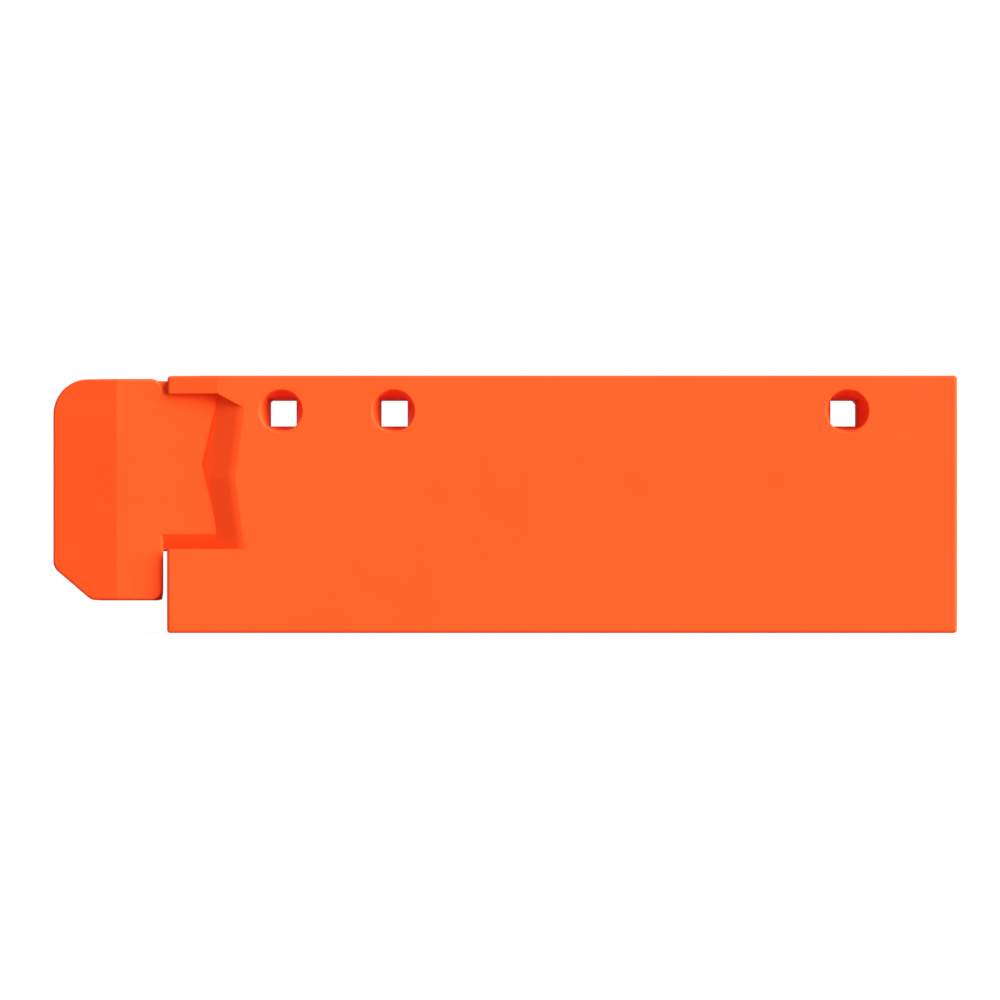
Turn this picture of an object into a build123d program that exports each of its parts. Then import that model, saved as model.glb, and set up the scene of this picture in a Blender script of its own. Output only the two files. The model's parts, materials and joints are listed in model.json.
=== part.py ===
from build123d import *
import os
from math import cos, hypot, radians, sin, tan

# Water filled barrier: one hollow moulding with a connector head at its left end, a twist-lock fill
# cap in a recess in the top, and a screwed drain plug in a recess low on the plain right end.
# Millimetres, +X along the length towards the plain end, the front face towards -Y, +Z up.
# The origin is the middle of the base of the overall box.

# ---- Driving dimensions: the moulding ----
body_length = 1872.0        # tank without the connector head
body_height = 610.0
body_thickness = 254.0
wall = 6.0
edge_radius = 8.0           # outer edges of the body
ease_drop = 15.0            # above the recess the faces ease in by this much at the head end

head_reach = 276.0          # body end to the nose of the head
head_gap = 12.0             # slot between the head's lip and the body end
head_recess = 30.0          # face of head, neck and tongue behind the body face
head_top = 604.0
head_bottom = 78.0
head_nose_run = 155.0       # length of the part that narrows towards the nose
head_nose_drop = 31.0       # how much each side narrows there
head_top_radius = 83.0      # large radius at the top of the nose
head_chamfer_run = 93.0     # slanting corner at the bottom of the nose
head_chamfer_rise = 78.0
head_lip_lean = 19.0        # the slot is this much wider at the back than at the front
head_corner_radius = 30.0   # other corners of the head, seen from the front
head_edge_radius = 7.0

neck_top = 568.0            # neck and tongue at their faces
neck_bottom = 235.0
neck_ridge_top = 600.0      # and behind their slanting edges
neck_ridge_bottom = 197.0
neck_slant = 27.0           # how far the slanting edges run back from the faces
tongue_long = 120.0         # tongue length at its top and bottom corners
tongue_short = 79.5         # and at the root of its vee
tongue_vee_height = 401.0

recess_depth = 57.0         # hollow round the tongue, behind the body face
recess_bottom = 199.0
recess_top_corner = 537.0
recess_long = 177.0         # its edge in the body face, at the top and bottom corners
recess_short = 155.5        # and at the point of its vee
recess_vee_height = 368.0
recess_lean = 108.0         # how far its vee walls run in over the recess depth
recess_roll = 60.0          # radius of the face's roll into the recess
recess_brow_angle = 3.0     # small angle at which the roll leaves the face
recess_overrun = 0.6        # each half of the vee is cut this share longer, so that they meet

hole_offsets_left = (270.0, 536.0)   # hole centres from the head end of the body
hole_offset_right = 260.0            # and from the plain end
hole_drop = 84.0                     # below the top
dish_radius = 50.0
dish_rim_radius = 4.0
dish_depth = 100.0
hole_width = 64.0

# ---- Driving dimensions: the fill port ----
fill_offset = 936.0         # from the head end of the body
well_margin = 18.0          # well floor left round the ring's flange
well_depth = 38.0
neck_bore_radius = 46.0
neck_wall = 10.0
neck_flange_width = 14.0
neck_flange_thickness = 4.0
neck_skirt = 20.0           # reach of the ring below the well floor
neck_seal_thickness = 2.0
neck_screw_count = 6
tab_depth = 4.0             # how far each locking tab stands into the bore
tab_thickness = 5.0
lug_height = 5.0            # underside of the cap's lugs above the ring's lower end
tab_angle = 54.0
lock_count = 3
cap_overhang = 2.0          # cap past its gasket
cap_thickness = 9.0
cap_stem_wall = 4.0
lug_angle = 44.0
lug_thickness = 5.0
cap_grip = (100.0, 15.0, 13.0)
cap_rim_round = 2.0
cap_pocket_depth = 4.0
pocket_rim = 7.0            # solid rim left outside the finger pockets
pocket_margin = 3.0         # and beside the grip bar
pocket_ribs = 3             # ribs across each pair of pockets
pocket_rib_angle = 34.0
pocket_rib_width = 2.4
gasket_width = 9.0
gasket_thickness = 3.0
fill_boss_offset = 7.5      # strap anchor, from the edge of the ring's flange

# ---- Driving dimensions: the drain ----
drain_height = 62.0         # drain centre above the base
drain_well_margin = 14.0    # well floor left round the bush's flange
drain_well_depth = 30.0
bush_wall = 4.85
bush_flange_width = 5.0
bush_flange_thickness = 3.0
bush_length = 23.0          # barrel behind its flange
thread_radius = 20.0        # plug shank under its thread
thread_height = 1.8
thread_pitch = 6.0
thread_turns = 2.25
thread_root_share = 0.27    # half widths of the ridge at its root and crest, as shares of the pitch
thread_crest_share = 0.11
plug_length = 18.0          # shank inside the bush
plug_head_thickness = 7.5
plug_grip = (46.0, 10.0, 11.0)
plug_rim_round = 1.5
plug_pocket_depth = 2.5
plug_seal_thickness = 2.5
drain_boss_offset = 6.5

# ---- Driving dimensions: straps and screws ----
strap_width = 6.0
strap_thickness = 2.5
strap_groove = 2.5          # depth of the groove that the strap's ring turns in
strap_bridge = 9.0
boss_radius = 5.5
screw_radius = 2.0
screw_head_radius = 4.2
screw_head_height = 2.4
screw_length = 11.0
screw_slot = 0.9

# ---- Clearances ----
lock_clearance = 0.5        # lugs under tabs, stem in bore, strap rings in their grooves
thread_clearance = 0.35
thread_sink = 0.4           # how far a ridge's root is buried in its shank or bore

# ---- Derived sizes of the two ports, each built up from its bore ----
neck_outer_radius = neck_bore_radius + neck_wall
neck_flange_radius = neck_outer_radius + neck_flange_width
cap_radius = neck_bore_radius + gasket_width + cap_overhang
well_radius = neck_flange_radius + well_margin
fill_boss_circle = neck_flange_radius + fill_boss_offset
bush_bore_radius = thread_radius + thread_height + thread_clearance
bush_outer_radius = bush_bore_radius + bush_wall
bush_flange_radius = bush_outer_radius + bush_flange_width
plug_head_radius = bush_outer_radius
drain_well_radius = bush_flange_radius + drain_well_margin
drain_boss_circle = bush_flange_radius + drain_boss_offset

# ---- Derived places ----
x_left = -(body_length + head_reach) / 2 + head_reach
x_right = x_left + body_length
x_nose = x_left - head_reach
half_body = body_thickness / 2
half_head = half_body - head_recess
hole_height = body_height - hole_drop
hole_xs = [x_left + offset for offset in hole_offsets_left] + [x_right - hole_offset_right]
fill_axis = Plane(origin=(x_left + fill_offset, 0, body_height - well_depth), x_dir=(1, 0, 0), z_dir=(0, 0, 1))
drain_axis = Plane(origin=(x_right - drain_well_depth, 0, drain_height), x_dir=(0, 1, 0), z_dir=(1, 0, 0))
flange_top = neck_seal_thickness + neck_flange_thickness      # heights above the well floor
cap_base = flange_top + gasket_thickness
plug_base = bush_flange_thickness + plug_seal_thickness
thread_start = bush_flange_thickness - plug_length + thread_pitch / 3
neck_screw_circle = (neck_outer_radius + neck_flange_radius) / 2


def outline(points, radius=0.0, inset=0.0):
    """Closed face through the points, with its corners rounded and its edge moved inwards by inset."""
    if radius:
        edge = FilletPolyline(*points, radius=radius, close=True)
    else:
        edge = Polyline(*points, close=True)
    face = make_face(edge)
    return offset(face, -inset, kind=Kind.INTERSECTION) if inset else face


def through_y(face):
    """Elevation outline carried through the whole thickness and beyond."""
    return extrude(Plane.XZ * face, amount=body_thickness, both=True)


def body_block(inset):
    """The plain tank; above the recess its faces ease inwards to the head end."""
    points = [(x_left, -half_body), (x_right, -half_body), (x_right, half_body), (x_left, half_body)]
    plan = Plane.XY.offset(inset) * outline(points, inset=inset)
    block = extrude(plan, amount=body_height - 2 * inset)
    x_start, x_beyond = x_left + tongue_long, x_left - wall
    eased_half = half_body - ease_drop - inset
    eased = [(x_start, inset - half_body), (x_start, -half_body - wall), (x_beyond, -half_body - wall),
             (x_beyond, -eased_half), (x_left, -eased_half)]
    wedge = extrude(Plane.XY.offset(neck_top) * outline(eased), amount=body_height - neck_top + 1)
    block -= wedge
    block -= mirror(wedge, about=Plane.XZ)
    return block if inset else fillet(block.edges().filter_by(outer_edge), edge_radius)


def outer_edge(edge):
    """Whether an edge of the plain tank is one of its rounded outer edges."""
    middle = edge.center()
    if abs(middle.Z - body_height / 2) > body_height / 2 - 0.1:
        return True
    return edge.length > neck_top / 2 or middle.X < x_left + 0.1 and middle.Z > neck_top + 0.1


def leaning_cut(low, high, grow):
    """Prism along one straight edge of the recess, with its wall leaning in towards the head."""
    (x1, z1), (x2, z2) = low, high
    length = hypot(x2 - x1, z2 - z1)
    along = Vector(x2 - x1, 0, z2 - z1)
    towards_head = Vector(-(z2 - z1), 0, x2 - x1)
    base = Plane(origin=(x1, -half_body, z1), x_dir=towards_head, z_dir=along)
    into_body = 1 if base.y_dir.Y > 0 else -1
    reach = recess_lean / recess_depth
    far = 2 * recess_long + head_gap
    deep = into_body * recess_depth
    brow = 2 * recess_roll
    profile = [(-brow, -into_body * brow * tan(radians(recess_brow_angle))), (0, 0), (reach * recess_depth, deep),
               (far, deep), (far, -deep), (-brow, -deep)]
    face = base * outline(profile, [0, recess_roll, 0, 0, 0, 0], inset=-grow)
    overrun = length * recess_overrun
    return extrude(face, amount=length + overrun) + extrude(face, amount=-overrun)


def recess(grow):
    """Hollow round the tongue on the front side, open towards the head end."""
    vee = (x_left + recess_short, recess_vee_height)
    lower = leaning_cut((x_left + recess_long, recess_bottom), vee, grow)
    upper = leaning_cut(vee, (x_left + recess_long, recess_top_corner), grow)
    slope = (neck_top - recess_top_corner) / (recess_long - tongue_long)
    x_far = recess_long + recess_lean
    corners = [(-head_reach, recess_bottom), (x_far, recess_bottom),
               (x_far, neck_top - slope * (x_far - tongue_long)), (tongue_long, neck_top),
               (-head_reach, neck_top)]
    clip = outline([(x_left + x, z) for x, z in corners], inset=-grow)
    return (lower + upper) & through_y(clip)


def neck_and_tongue(inset):
    """Eight-sided bar from the head into the body, cut to the tongue's vee."""
    half = half_head
    flat = half - neck_slant
    section = [(-half, neck_bottom), (-flat, neck_ridge_bottom), (flat, neck_ridge_bottom), (half, neck_bottom),
               (half, neck_top), (flat, neck_ridge_top), (-flat, neck_ridge_top), (-half, neck_top)]
    start = x_left - head_gap - head_lip_lean - 3 * wall
    bar = extrude(Plane.YZ.offset(start) * outline(section, inset=inset), amount=x_left + recess_long - start)
    rise = (neck_top - neck_bottom) / 2
    lean = (tongue_long - tongue_short) / rise
    low, high = neck_ridge_bottom - 6 * wall, neck_ridge_top + 6 * wall
    tail = [(start - 2 * wall, low), (x_left + tongue_short + lean * (tongue_vee_height - low), low),
            (x_left + tongue_short, tongue_vee_height),
            (x_left + tongue_short + lean * (high - tongue_vee_height), high), (start - 2 * wall, high)]
    return bar & through_y(outline(tail, inset=inset))


def head(inset):
    """Connector head: its elevation and its plan, which narrows towards the nose, intersected."""
    x_lip = x_left - head_gap
    side = [(x_lip, head_bottom), (x_lip, head_top), (x_nose, head_top),
            (x_nose, head_bottom + head_chamfer_rise), (x_nose + head_chamfer_run, head_bottom)]
    corner = head_corner_radius
    elevation = through_y(outline(side, [corner, corner, head_top_radius, corner, corner], inset))
    nose_half = half_head - head_nose_drop
    x_crease = x_nose + head_nose_run
    plan = [(x_lip, -half_head), (x_lip, half_head), (x_crease, half_head), (x_nose, nose_half),
            (x_nose, -nose_half), (x_crease, -half_head)]
    bar = extrude(Plane.XY * outline(plan, inset=inset), amount=body_height)
    solid = elevation & bar
    if not inset:
        solid = fillet(solid.edges(), head_edge_radius)
    x_lip -= inset
    beyond = 2 * head_gap
    relief = [(x_lip, 2 * head_edge_radius - half_head), (x_lip + beyond, 2 * head_edge_radius - half_head),
              (x_lip + beyond, half_head + 1), (x_lip - head_lip_lean, half_head + 1)]
    return solid - extrude(Plane.XY * outline(relief), amount=body_height)


def tunnel(x, grow):
    """Way through the body: a round dish that turns square, then a short square tube."""
    radius = dish_radius + grow
    half = hole_width / 2 + grow
    quarter = [(cos(radians(45 + 90 * i)), sin(radians(45 + 90 * i))) for i in range(4)]
    middle = [(cos(radians(90 + 90 * i)), sin(radians(90 + 90 * i))) for i in range(4)]
    arcs = []
    sides = []
    for i in range(4):
        start, mid, end = quarter[i], middle[i], quarter[(i + 1) % 4]
        arcs.append(ThreePointArc(*[(radius * a, radius * b) for a, b in (start, mid, end)]))
        sides.append(Line(*[(half * 2 ** 0.5 * a, half * 2 ** 0.5 * b) for a, b in (start, end)]))
    mouth = Plane(origin=(x, -half_body, hole_height), x_dir=(1, 0, 0), z_dir=(0, 1, 0))
    waist = mouth.offset(dish_depth)
    round_wire = mouth * Wire(arcs)
    square_wire = waist * Wire(sides)
    dish = Solid.make_loft([round_wire, square_wire], ruled=True)
    entry = extrude(mouth * Circle(radius), amount=-2 * wall)
    tube = extrude(waist * Rectangle(2 * half, 2 * half), amount=half_body - dish_depth)
    front = dish + entry + tube
    return front + mirror(front, about=Plane.XZ)


def envelope(inset):
    """Outside of the moulding, or with an inset the cavity that leaves an even wall."""
    front_recess = recess(inset)
    solid = body_block(inset) - front_recess - mirror(front_recess, about=Plane.XZ)
    solid = solid + neck_and_tongue(inset) + head(inset)
    for x in hole_xs:
        solid -= tunnel(x, inset)
    if not inset:
        rims = solid.edges().filter_by(GeomType.CIRCLE).filter_by(lambda edge: abs(edge.radius - dish_radius) < 0.1)
        solid = fillet(rims.filter_by(lambda edge: abs(edge.center().Y) > half_body - 1), dish_rim_radius)
    solid -= fill_axis * rod(well_radius + inset, -inset, well_depth + wall)
    solid -= drain_axis * rod(drain_well_radius + inset, -inset, drain_well_depth + wall)
    return solid


def rod(radius, low, high):
    """Cylinder on the local axis from one height to another."""
    return extrude(Plane.XY.offset(low) * Circle(radius), amount=high - low)


def ring(outer, inner, low, high):
    return rod(outer, low, high) - rod(inner, low - 1, high + 1)


def sector(outer, inner, low, high, middle, angle):
    """Part of a ring, centred on one direction."""
    reach = outer / cos(radians(angle / 2)) + 1
    corners = [(reach * cos(radians(a)), reach * sin(radians(a))) for a in (middle - angle / 2, middle + angle / 2)]
    wedge = extrude(Plane.XY.offset(low) * make_face(Polyline((0, 0), *corners, close=True)), amount=high - low)
    return ring(outer, inner, low, high) & wedge


def screw_holes(radius, low, high):
    """Six holes, or six rods, on the circle of the ring's screws."""
    places = PolarLocations(neck_screw_circle, neck_screw_count)
    return [place * rod(radius, low, high) for place in places]


def screw(seat):
    """Pan-head screw standing on the local plane at the height of its seat."""
    head_disc = rod(screw_head_radius, seat, seat + screw_head_height)
    head_disc = fillet(head_disc.edges().sort_by(Axis.Z)[-1], screw_head_height / 2)
    slots = [Rot(0, 0, turn) * Box(screw_head_radius, screw_slot, screw_head_height) for turn in (0, 90)]
    cross = Pos(0, 0, seat + screw_head_height) * (slots[0] + slots[1])
    return head_disc + rod(screw_radius, seat - screw_length, seat) - cross


def boss_height(base, thickness):
    """Underside of the strap, whose ring is in the middle of the cap's rim."""
    return base + (thickness - strap_thickness) / 2


fill_strap_base = boss_height(cap_base, cap_thickness)
drain_strap_base = boss_height(plug_base, plug_head_thickness)


def barrier_shell():
    """The hollow moulding, with its two ports, the screw pilots and the bosses for the straps."""
    shell = envelope(0) - envelope(wall)
    shell -= fill_axis * rod(neck_outer_radius, -2 * wall, wall)
    shell -= drain_axis * rod(bush_outer_radius, -2 * wall, wall)
    shell -= [fill_axis * pilot for pilot in screw_holes(screw_radius, flange_top - screw_length, wall)]
    for axis, circle, height in ((fill_axis, fill_boss_circle, fill_strap_base),
                                 (drain_axis, drain_boss_circle, drain_strap_base)):
        pilot = rod(screw_radius, height + strap_thickness - screw_length, height + 1)
        shell += axis * (Pos(-circle, 0, 0) * rod(boss_radius, -wall / 2, height))
        shell -= axis * (Pos(-circle, 0, 0) * pilot)
    return shell


def fill_neck():
    """Flanged ring in the well floor, with the tabs that the cap's lugs turn under."""
    body = ring(neck_outer_radius, neck_bore_radius, -neck_skirt, flange_top)
    body += ring(neck_flange_radius, neck_bore_radius, neck_seal_thickness, flange_top)
    tab_low = lug_height + lug_thickness + lock_clearance - neck_skirt
    for i in range(lock_count):
        body += sector(neck_bore_radius + 1, neck_bore_radius - tab_depth, tab_low, tab_low + tab_thickness,
                       i * 360 / lock_count, tab_angle)
    return fill_axis * (body - screw_holes(screw_radius, -1, flange_top + 1))


def fill_neck_seal():
    seal = ring(neck_flange_radius, neck_outer_radius, 0, neck_seal_thickness)
    return fill_axis * (seal - screw_holes(screw_radius, -1, neck_seal_thickness + 1))


def fill_neck_screws():
    places = PolarLocations(neck_screw_circle, neck_screw_count)
    return [fill_axis * (place * screw(flange_top)) for place in places]


def grip_bar(size, base):
    """Bar across the top of a cap, rounded at its ends and along its top."""
    length, width, height = size
    bar = extrude(Plane.XY.offset(base) * SlotOverall(length, width), amount=height)
    return fillet(bar.edges().group_by(Axis.Z)[-1], width / 5)


def finger_pockets(radius, grip, top, depth):
    """Two half-moon hollows beside a grip bar, each with stiffening ribs left standing."""
    hollow = rod(radius, top - depth, top + 1)
    hollow -= Pos(0, 0, top) * Box(2 * radius, grip[1] + 2 * pocket_margin, 4 * depth)
    for i in range(pocket_ribs):
        turn = 90 + (i - (pocket_ribs - 1) / 2) * pocket_rib_angle
        hollow -= Rot(0, 0, turn) * (Pos(0, 0, top) * Box(2 * radius, pocket_rib_width, 4 * depth))
    return hollow


def rim_groove(radius, strap_base):
    """Groove round a cap's rim for the strap's ring."""
    low = strap_base - lock_clearance
    return ring(radius + 1, radius - strap_groove, low, low + strap_thickness + 2 * lock_clearance)


def fill_cap():
    """Disc with a grip bar, and a stem whose lugs pass between the tabs and turn under them."""
    stem_radius = neck_bore_radius - tab_depth - lock_clearance
    lug_low = lug_height - neck_skirt
    cap = rod(cap_radius, cap_base, cap_base + cap_thickness)
    cap = fillet(cap.edges().sort_by(Axis.Z)[-1], cap_rim_round)
    cap -= finger_pockets(cap_radius - pocket_rim, cap_grip, cap_base + cap_thickness, cap_pocket_depth)
    cap += grip_bar(cap_grip, cap_base + cap_thickness)
    cap += ring(stem_radius, stem_radius - cap_stem_wall, lug_low, cap_base)
    for i in range(lock_count):
        cap += sector(neck_bore_radius - lock_clearance, stem_radius - 1, lug_low, lug_low + lug_thickness,
                      (i + 0.5) * 360 / lock_count, lug_angle)
    return fill_axis * (cap - rim_groove(cap_radius, fill_strap_base))


def fill_cap_gasket():
    return fill_axis * ring(neck_bore_radius + gasket_width, neck_bore_radius, flange_top, cap_base)


def strap(rim_radius, anchor_circle, base):
    """Ring that turns in a cap's rim groove, and a band half round it to an eye on the anchor."""
    top = base + strap_thickness
    inner = rim_radius - strap_groove + lock_clearance
    band = ring(anchor_circle + strap_width / 2, anchor_circle - strap_width / 2, base, top)
    half = Pos(0, anchor_circle, (base + top) / 2) * Box(4 * anchor_circle, 2 * anchor_circle, strap_thickness)
    bridge = Pos((inner + anchor_circle) / 2 + 1, strap_bridge / 2, (base + top) / 2) * Box(
        anchor_circle - inner - 2, strap_bridge, strap_thickness)
    eye = Pos(-anchor_circle, 0, 0) * rod(boss_radius, base, top)
    hole = Pos(-anchor_circle, 0, 0) * rod(screw_radius, base - 1, top + 1)
    loop = ring(rim_radius + strap_width / 2, inner, base, top)
    return (band & half) + bridge + loop + eye - hole


def fill_cap_strap():
    return fill_axis * strap(cap_radius, fill_boss_circle, fill_strap_base)


def drain_plug_strap():
    return drain_axis * strap(plug_head_radius, drain_boss_circle, drain_strap_base)


def strap_screws():
    """The two screws that anchor the straps."""
    fill_screw = Pos(-fill_boss_circle, 0, 0) * screw(fill_strap_base + strap_thickness)
    drain_screw = Pos(-drain_boss_circle, 0, 0) * screw(drain_strap_base + strap_thickness)
    return [fill_axis * fill_screw, drain_axis * drain_screw]


def thread_ridge(root_radius, crest_radius, low, turns):
    """Helical ridge of trapezoid section, from its root to its crest, starting at a given height."""
    root, crest = thread_pitch * thread_root_share, thread_pitch * thread_crest_share
    rise = crest_radius - root_radius
    sink = -thread_sink if rise > 0 else thread_sink
    path = Helix(pitch=thread_pitch, height=thread_pitch * turns, radius=root_radius)
    profile = make_face(Polyline((sink, -root), (rise, -crest), (rise, crest), (sink, root), close=True))
    section = Plane(origin=(root_radius, 0, 0), x_dir=(1, 0, 0), z_dir=(0, -1, 0)) * profile
    return Pos(0, 0, low) * sweep(section, path=path, is_frenet=True)


def drain_bush():
    """Flanged bush in the end recess, with the thread that the plug turns in."""
    bore = bush_bore_radius
    body = ring(bush_outer_radius, bore, -bush_length, bush_flange_thickness)
    body += ring(bush_flange_radius, bore, 0, bush_flange_thickness)
    body += Rot(0, 0, 180) * thread_ridge(bore, thread_radius + thread_clearance, thread_start, thread_turns)
    return drain_axis * body


def drain_plug():
    """Screw plug with a grip bar across its head."""
    tip = bush_flange_thickness - plug_length
    plug = rod(plug_head_radius, plug_base, plug_base + plug_head_thickness)
    plug = fillet(plug.edges().sort_by(Axis.Z)[-1], plug_rim_round)
    top = plug_base + plug_head_thickness
    plug -= finger_pockets(plug_head_radius - pocket_rim, plug_grip, top, plug_pocket_depth)
    plug += grip_bar(plug_grip, top)
    plug += rod(thread_radius, tip, plug_base)
    plug += thread_ridge(thread_radius, thread_radius + thread_height, thread_start, thread_turns)
    plug -= rim_groove(plug_head_radius, drain_strap_base)
    return drain_axis * plug


def drain_plug_seal():
    return drain_axis * ring(plug_head_radius, bush_bore_radius, bush_flange_thickness, plug_base)


sub_parts = {
    "barrier_shell": barrier_shell, "fill_neck": fill_neck, "fill_neck_seal": fill_neck_seal,
    "fill_neck_screws": fill_neck_screws, "fill_cap": fill_cap, "fill_cap_gasket": fill_cap_gasket,
    "fill_cap_strap": fill_cap_strap, "drain_bush": drain_bush, "drain_plug": drain_plug,
    "drain_plug_seal": drain_plug_seal, "drain_plug_strap": drain_plug_strap, "strap_screws": strap_screws,
}

os.makedirs("parts", exist_ok=True)
for name, make in sub_parts.items():
    made = make()
    solids = made if isinstance(made, list) else made.solids()
    export_step(Compound(children=list(solids)), f"parts/{name}.step")
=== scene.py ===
import json
from math import cos, pi, radians, sin

import bpy
from mathutils import Matrix, Vector


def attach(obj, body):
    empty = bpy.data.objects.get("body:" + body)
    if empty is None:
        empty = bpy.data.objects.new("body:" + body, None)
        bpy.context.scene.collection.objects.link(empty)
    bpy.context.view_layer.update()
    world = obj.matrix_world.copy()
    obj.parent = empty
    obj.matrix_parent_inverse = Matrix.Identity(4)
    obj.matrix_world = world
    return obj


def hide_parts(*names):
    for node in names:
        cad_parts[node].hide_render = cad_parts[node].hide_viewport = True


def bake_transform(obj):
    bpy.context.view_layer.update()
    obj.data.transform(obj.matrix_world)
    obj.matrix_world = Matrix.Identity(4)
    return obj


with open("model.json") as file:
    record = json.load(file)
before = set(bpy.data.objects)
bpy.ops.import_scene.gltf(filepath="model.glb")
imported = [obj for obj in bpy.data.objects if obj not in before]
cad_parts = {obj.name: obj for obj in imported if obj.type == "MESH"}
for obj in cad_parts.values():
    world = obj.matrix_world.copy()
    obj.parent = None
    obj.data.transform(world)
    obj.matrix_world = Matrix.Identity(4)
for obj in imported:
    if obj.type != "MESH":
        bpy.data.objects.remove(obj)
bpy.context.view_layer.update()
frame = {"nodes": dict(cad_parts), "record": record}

# Looks of the water filled barrier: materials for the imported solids, soft straps across the two
# lifting joints, the studio floor, the lights and the camera. Metres, +Z up.

nodes = frame["nodes"]
record = frame["record"]


# ---- Shader building ----
class Value:
    """A shader socket that adds Math nodes when it is used in a sum."""

    def __init__(self, finish, socket):
        self.finish = finish
        self.socket = socket

    def maths(self, operation, a, b):
        return self.finish.node("ShaderNodeMath", {"operation": operation}, {0: a, 1: b})

    def __add__(self, other):
        return self.maths("ADD", self, other)

    def __radd__(self, other):
        return self.maths("ADD", other, self)

    def __sub__(self, other):
        return self.maths("SUBTRACT", self, other)

    def __rsub__(self, other):
        return self.maths("SUBTRACT", other, self)

    def __mul__(self, other):
        return self.maths("MULTIPLY", self, other)

    def __rmul__(self, other):
        return self.maths("MULTIPLY", other, self)

    def __abs__(self):
        return self.maths("ABSOLUTE", self, 0.0)

    def over(self, low, high):
        """0 below low, 1 above high, smooth between."""
        return self.finish.node("ShaderNodeMapRange", {"interpolation_type": "SMOOTHSTEP"},
                                {"Value": self, "From Min": low, "From Max": high})


class Finish:
    """One material under construction."""

    def __init__(self, name, **constants):
        self.material = bpy.data.materials.new(name)
        self.material.use_nodes = True
        self.tree = self.material.node_tree
        self.surface = next(n for n in self.tree.nodes if n.type == "BSDF_PRINCIPLED")
        for socket, value in constants.items():
            self.surface.inputs[socket.replace("_", " ")].default_value = value

    def node(self, kind, settings, inputs, output=0):
        """Adds any node: its settings first, then the values or links of its sockets."""
        made = self.tree.nodes.new(kind)
        for setting, value in settings.items():
            setattr(made, setting, value)
        for socket, value in inputs.items():
            if isinstance(value, Value):
                self.tree.links.new(value.socket, made.inputs[socket])
            else:
                made.inputs[socket].default_value = value
        return Value(self, made.outputs[output])

    def place(self):
        """The point on the object, in metres."""
        return self.node("ShaderNodeTexCoord", {}, {}, "Object")

    def axis(self, letter):
        return self.node("ShaderNodeSeparateXYZ", {}, {"Vector": self.place()}, letter)

    def stretched(self, scale):
        return self.node("ShaderNodeMapping", {}, {"Vector": self.place(), "Scale": scale})

    def noise(self, scale, detail=2.0, rough=0.5, vector=None):
        return self.node("ShaderNodeTexNoise", {}, {"Vector": vector or self.place(), "Scale": scale,
                                                    "Detail": detail, "Roughness": rough})

    def mixed(self, factor, a, b):
        """Two colours mixed."""
        return self.node("ShaderNodeMix", {"data_type": "RGBA"}, {"Factor": factor, 6: a, 7: b}, 2)

    def bump(self, height, distance, below=None):
        inputs = {"Height": height, "Distance": distance, "Strength": 1.0}
        if below:
            inputs["Normal"] = below
        return self.node("ShaderNodeBump", {}, inputs)

    def feed(self, **links):
        for socket, value in links.items():
            self.tree.links.new(value.socket, self.surface.inputs[socket.replace("_", " ")])
        return self.material


def polyethylene():
    """Moulded orange skin: faint orange peel, slow waves in the wall, a parting line and light scuffs."""
    skin = Finish("moulded_orange_polyethylene", Specular_IOR_Level=0.15, IOR=1.45)
    cloud = skin.noise(3.5, 3.0)
    mottle = skin.noise(55.0, 2.0)
    scuff = skin.noise(26.0, 4.0, 0.62, skin.stretched((1.0, 1.0, 4.0))).over(0.64, 0.78)
    low = 1 - skin.axis("Z").over(0.0, 0.16)
    scuffs = scuff * (0.12 + 0.35 * low)
    colour = skin.mixed(cloud.over(0.3, 0.7), (0.92, 0.094, 0.013, 1), (0.93, 0.100, 0.015, 1))
    colour = skin.mixed(mottle.over(0.35, 0.75) * 0.10, colour, (0.94, 0.115, 0.022, 1))
    colour = skin.mixed(scuffs * 0.20, colour, (0.94, 0.20, 0.08, 1))
    rough = 0.54 + 0.08 * cloud + 0.05 * mottle + 0.16 * scuffs
    peel = skin.noise(420.0, 2.0, 0.55)
    wave = skin.noise(5.0, 1.0)
    seam = 1 - abs(skin.axis("Y")).over(0.0006, 0.0020)
    normal = skin.bump(wave, 0.004)
    normal = skin.bump(peel, 0.00016, normal)
    normal = skin.bump(seam, 0.0006, normal)
    return skin.feed(Base_Color=colour, Roughness=rough, Normal=normal)


def polypropylene():
    """Black fittings with a fine spark-eroded grain and patches of dust."""
    skin = Finish("grained_black_polypropylene", Specular_IOR_Level=0.5, IOR=1.49)
    grain = skin.noise(1400.0, 2.0, 0.6)
    dust = skin.noise(45.0, 4.0).over(0.45, 0.75)
    colour = skin.mixed(dust * 0.35, (0.019, 0.020, 0.022, 1), (0.06, 0.055, 0.05, 1))
    rough = 0.42 + 0.16 * dust + 0.08 * grain
    return skin.feed(Base_Color=colour, Roughness=rough, Normal=skin.bump(grain, 0.00008))


def soft_plastic():
    """Flexible strap plastic, matt, with faint stretch marks."""
    skin = Finish("flexible_strap_plastic", Specular_IOR_Level=0.35, IOR=1.5)
    cloud = skin.noise(90.0, 3.0)
    colour = skin.mixed(cloud.over(0.4, 0.7) * 0.5, (0.022, 0.022, 0.024, 1), (0.045, 0.044, 0.043, 1))
    return skin.feed(Base_Color=colour, Roughness=0.58 + 0.12 * cloud,
                     Normal=skin.bump(skin.noise(900.0), 0.00005))


def seal_rubber():
    """Matt black seal rubber with a bloom."""
    skin = Finish("seal_rubber", Specular_IOR_Level=0.3, IOR=1.5)
    bloom = skin.noise(120.0, 4.0).over(0.4, 0.8)
    colour = skin.mixed(bloom, (0.012, 0.012, 0.013, 1), (0.035, 0.034, 0.033, 1))
    return skin.feed(Base_Color=colour, Roughness=0.68 + 0.12 * bloom,
                     Normal=skin.bump(skin.noise(1600.0), 0.00004))


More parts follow.
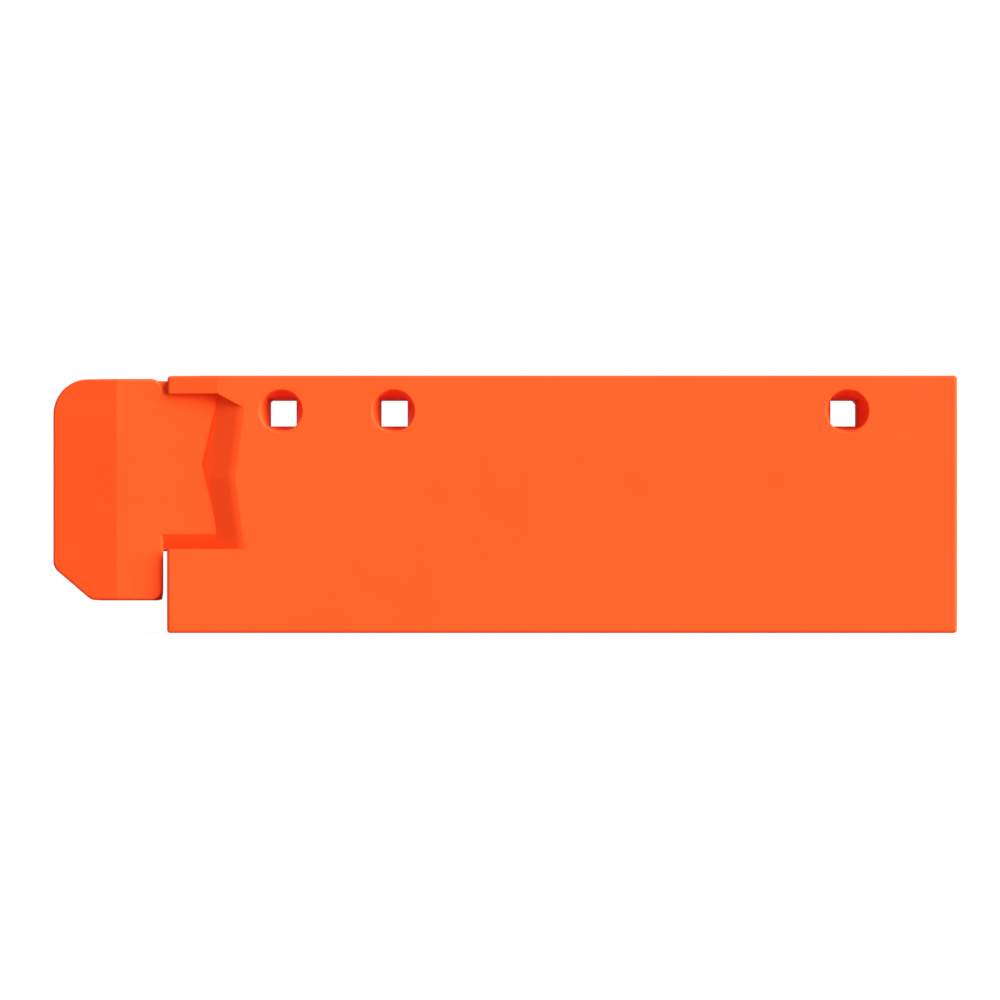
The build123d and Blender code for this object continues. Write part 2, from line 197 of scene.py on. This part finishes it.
def stainless():
    """Turned screw heads: a fine grain and a little tarnish."""
    skin = Finish("stainless_steel", Metallic=1.0, IOR=1.5)
    tarnish = skin.noise(300.0, 3.0).over(0.45, 0.8)
    colour = skin.mixed(tarnish, (0.62, 0.61, 0.59, 1), (0.44, 0.42, 0.39, 1))
    return skin.feed(Base_Color=colour, Roughness=0.28 + 0.2 * tarnish,
                     Normal=skin.bump(skin.noise(2400.0), 0.00002))


finishes = {
    "barrier_polyethylene": polyethylene(), "fitting_plastic": polypropylene(), "strap_plastic": soft_plastic(),
    "seal_rubber": seal_rubber(), "stainless_screws": stainless(),
}


def dress(piece, slot):
    """Gives a piece or a CAD node its finish."""
    piece.data.materials.clear()
    piece.data.materials.append(finishes[slot])


for part in record["subparts"]:
    dress(nodes[part["node"]], part["material_slot"])


# ---- Straps: a ring that travels with each cap, and a band that runs from its anchor to the ring ----
def clear_selection():
    for thing in bpy.context.selected_objects:
        thing.select_set(False)


def modify(piece, kind, **settings):
    """Adds a modifier and applies it."""
    modifier = piece.modifiers.new(kind.lower(), kind)
    for setting, value in settings.items():
        setattr(modifier, setting, value)
    bpy.context.view_layer.objects.active = piece
    bpy.ops.object.modifier_apply(modifier=modifier.name)


def join_solid(piece, other, operation):
    """Boolean of a piece with another, which is then removed."""
    modify(piece, "BOOLEAN", operation=operation, object=other, solver="EXACT")
    bpy.data.objects.remove(other)


def disc_solid(radius, thickness, vertices, place):
    clear_selection()
    bpy.ops.mesh.primitive_cylinder_add(vertices=vertices, radius=radius, depth=thickness, location=place)
    return bpy.context.active_object


def flat_ring(outer, inner, thickness, half=False):
    """Ring, or half a ring on the +Y side, lying round the origin, with square edges."""
    clear_selection()
    bpy.ops.mesh.primitive_circle_add(vertices=128, radius=outer, fill_type="NGON")
    bpy.ops.object.mode_set(mode="EDIT")
    bpy.ops.mesh.select_all(action="SELECT")
    bpy.ops.mesh.inset(thickness=outer - inner)
    bpy.ops.mesh.delete(type="FACE")
    if half:
        bpy.ops.mesh.select_all(action="SELECT")
        bpy.ops.mesh.bisect(plane_co=(0, 0, 0), plane_no=(0, 1, 0), clear_inner=True)
    bpy.ops.object.mode_set(mode="OBJECT")
    piece = bpy.context.active_object
    modify(piece, "SOLIDIFY", thickness=thickness, offset=0)
    return piece


def finish_strap(piece, name, port, thickness):
    """Rounds the edges, names the piece and lays it on its port."""
    modify(piece, "BEVEL", width=thickness * 0.22, segments=3, limit_method="ANGLE", angle_limit=radians(40))
    clear_selection()
    piece.select_set(True)
    bpy.context.view_layer.objects.active = piece
    bpy.ops.object.shade_smooth_by_angle(angle=radians(35))
    piece.name = name
    piece.matrix_world = port
    bpy.ops.object.transform_apply(location=True, rotation=True, scale=True)
    dress(piece, "strap_plastic")


def strap(port_name, node, body, port, rim_radius, anchor_circle):
    """Ring and band of one strap; port maps the port's own axes to the object's."""
    width, thickness, eye_radius, hole_radius, bridge_width = 0.006, 0.0025, 0.0055, 0.002, 0.009
    inner = rim_radius - 0.002
    ring = flat_ring(rim_radius + width / 2, inner, thickness)
    finish_strap(ring, port_name + "_strap_ring", port, thickness)
    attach(ring, body)
    band = flat_ring(anchor_circle + width / 2, anchor_circle - width / 2, thickness, half=True)
    join_solid(band, disc_solid(eye_radius, thickness, 40, (-anchor_circle, 0, 0)), "UNION")
    clear_selection()
    reach = anchor_circle - inner - 0.002
    bpy.ops.mesh.primitive_cube_add(size=1, location=(anchor_circle - reach / 2, bridge_width / 2, 0))
    bridge = bpy.context.active_object
    bridge.scale = (reach, bridge_width, thickness)
    bpy.ops.object.transform_apply(location=False, rotation=False, scale=True)
    join_solid(band, bridge, "UNION")
    join_solid(band, disc_solid(hole_radius, 4 * thickness, 32, (-anchor_circle, 0, 0)), "DIFFERENCE")
    finish_strap(band, port_name + "_strap_band", port, thickness)
    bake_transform(band)
    for piece in (ring, band):
        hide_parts(node)


# The two ports: the fill cap's axis points up, the drain plug's out of the plain end.
upwards = Matrix.Translation((0.138, 0, 0.5855))
endwards = Matrix.Translation((1.05325, 0, 0.062)) @ Matrix(((0, 0, 1, 0), (1, 0, 0, 0), (0, 1, 0, 0), (0, 0, 0, 1)))
strap("fill", "fill_cap_strap", "fill_strap", upwards, 0.057, 0.0775)
strap("drain", "drain_plug_strap", "drain_strap", endwards, 0.027, 0.0385)


# ---- Floor, lights, camera ----
clear_selection()
bpy.ops.mesh.primitive_plane_add(size=400.0, location=(0, 150, 0))
floor = bpy.context.active_object
floor.name = "studio_floor"
# The floor glows white for the camera only; its bounce on the object is dim and warm.
paper = Finish("pale_floor", Roughness=0.9, Specular_IOR_Level=0.0, Emission_Strength=1.0)
paper_tone = paper.mixed(paper.noise(1.2), (0.50, 0.24, 0.22, 1), (0.52, 0.25, 0.23, 1))
paper_glow = paper.mixed(paper.node("ShaderNodeLightPath", {}, {}, "Is Camera Ray"), (0, 0, 0, 1), (0.80, 0.85, 0.855, 1))
floor.data.materials.append(paper.feed(Base_Color=paper_tone, Emission_Color=paper_glow))

world = bpy.data.worlds.new("studio")
bpy.context.scene.world = world
world.use_nodes = True
sky = world.node_tree
seen_sky = sky.nodes.new("ShaderNodeBackground")
seen_sky.inputs["Color"].default_value = (1, 1, 1, 1)
soft_sky = sky.nodes["Background"]
soft_sky.inputs["Color"].default_value = (1.0, 0.72, 0.68, 1)
soft_sky.inputs["Strength"].default_value = 0.34
chooser = sky.nodes.new("ShaderNodeMixShader")
sky.links.new(sky.nodes.new("ShaderNodeLightPath").outputs["Is Camera Ray"], chooser.inputs[0])
sky.links.new(soft_sky.outputs[0], chooser.inputs[1])
sky.links.new(seen_sky.outputs[0], chooser.inputs[2])
sky.links.new(chooser.outputs[0], sky.nodes["World Output"].inputs[0])

key_turn, key_rise = radians(57), radians(26)     # right of the front, above the level
key = bpy.data.lights.new("key_light", "SUN")
key.energy = 6.9
key.angle = radians(60)
key_lamp = bpy.data.objects.new("key_light", key)
bpy.context.scene.collection.objects.link(key_lamp)
towards_key = Vector((sin(key_turn) * cos(key_rise), -cos(key_turn) * cos(key_rise), sin(key_rise)))
key_lamp.rotation_euler = (-towards_key).to_track_quat("-Z", "Y").to_euler()


def softbox(name, place, aim, size, power):
    """Square area light aimed at a point."""
    data = bpy.data.lights.new(name, "AREA")
    data.size = size
    data.energy = power
    light = bpy.data.objects.new(name, data)
    bpy.context.scene.collection.objects.link(light)
    light.location = place
    light.rotation_euler = (Vector(aim) - Vector(place)).to_track_quat("-Z", "Y").to_euler()


softbox("back_softbox", (-2.6, 4.4, 2.2), (0, 0, 0.3), 2.4, 60)

# The lens looks level from near the ground; its small rise keeps the upright edges parallel.
camera_place = Vector((-0.020, -9.327, 0.043))
picture_middle = (-0.009, 0.315)
view_width = 2.368          # metres across the picture at the front face
face_distance = 9.2
sensor_width = 36.0
lens = bpy.data.cameras.new("camera")
lens.sensor_width = sensor_width
lens.lens = sensor_width * face_distance / view_width
lens.shift_x = (picture_middle[0] - camera_place.x) / view_width
lens.shift_y = (picture_middle[1] - camera_place.z) / view_width
lens.clip_end = 200.0
camera = bpy.data.objects.new("camera", lens)
bpy.context.scene.collection.objects.link(camera)
camera.location = camera_place
camera.rotation_euler = (pi / 2, 0, 0)
bpy.context.scene.camera = camera
bpy.context.scene.view_settings.view_transform = "Standard"
